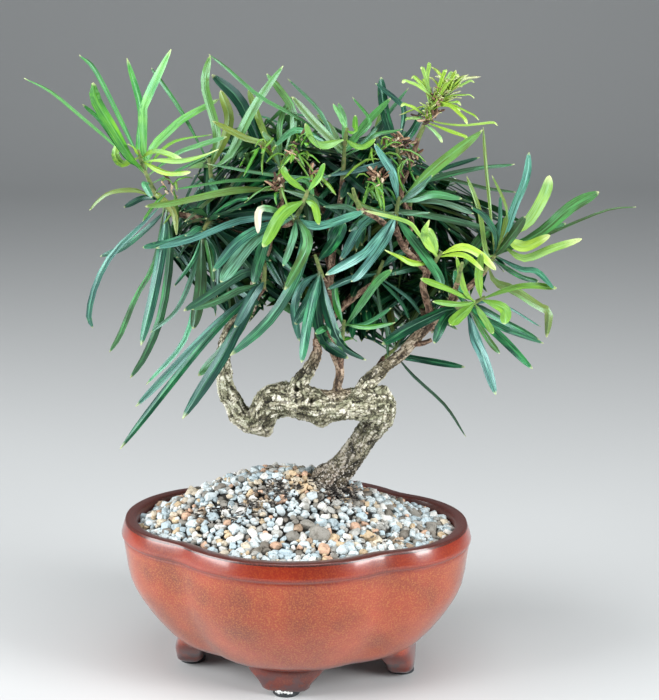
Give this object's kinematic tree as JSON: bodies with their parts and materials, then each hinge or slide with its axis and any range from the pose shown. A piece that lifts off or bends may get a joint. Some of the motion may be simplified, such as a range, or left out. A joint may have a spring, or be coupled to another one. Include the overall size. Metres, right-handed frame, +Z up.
{
  "type": "buddhist pine bonsai",
  "caption": "Small bent-trunk buddhist pine tree with strap leaves, growing in gravel-topped soil in a four-lobed glazed pot on feet.",
  "frame": {"origin": "middle of the whole tree and pot's box, on the surface that the pot stands on", "axes": "+Z up, +X to the right and +Y to the back as seen from the front"},
  "size_m": [0.4342, 0.213, 0.463],
  "materials": {
    "glaze": "gloss",
    "rubber_pad": "matt",
    "screen": "matt",
    "soil": "rough",
    "gravel": "satin",
    "bark": "rough",
    "mature_leaf": "gloss",
    "young_leaf": "gloss",
    "new_leaf": "satin"
  },
  "bodies": {
    "root": {"pot": "glaze", "soil": "soil", "gravel": "gravel", "wood": "bark", "screen_1": "screen", "screen_2": "screen", "pad_front": "rubber_pad", "pad_right": "rubber_pad", "pad_back": "rubber_pad", "pad_left": "rubber_pad", "shoot_left_low": "mature_leaf", "shoot_left_young": "young_leaf", "shoot_left_yellow": "new_leaf", "shoot_crown_left": "mature_leaf", "shoot_crown_middle": "mature_leaf", "shoot_crown_right": "mature_leaf", "shoot_crown_tip": "young_leaf", "shoot_crown_far_right": "mature_leaf", "shoot_top_young": "new_leaf", "shoot_right_middle": "mature_leaf", "shoot_right_rear": "mature_leaf", "shoot_far_right": "mature_leaf", "shoot_far_right_young": "new_leaf", "shoot_low_right": "mature_leaf", "shoot_low_right_young": "young_leaf", "shoot_right_yellow": "new_leaf", "shoot_centre": "mature_leaf", "shoot_centre_young": "young_leaf", "shoot_centre_low": "mature_leaf", "shoot_left_front": "mature_leaf", "shoot_left_hanging": "mature_leaf", "shoot_low_centre": "young_leaf", "shoot_middle_right": "mature_leaf", "shoot_branch_low": "mature_leaf", "shoot_front_upper": "mature_leaf", "shoot_front_right": "mature_leaf", "shoot_back_left_upper": "mature_leaf", "shoot_back_middle": "mature_leaf", "shoot_back_left_low": "mature_leaf", "shoot_back_top_left": "mature_leaf", "shoot_back_deep": "mature_leaf", "shoot_back_low": "mature_leaf", "shoot_back_top": "mature_leaf", "shoot_back_top_right": "mature_leaf", "shoot_back_right_upper": "mature_leaf", "shoot_back_right_deep": "mature_leaf", "shoot_back_far_right": "mature_leaf", "shoot_back_right_low": "mature_leaf", "shoot_back_centre_low": "mature_leaf", "shoot_left_rear": "mature_leaf"}
  },
  "joints": []
}
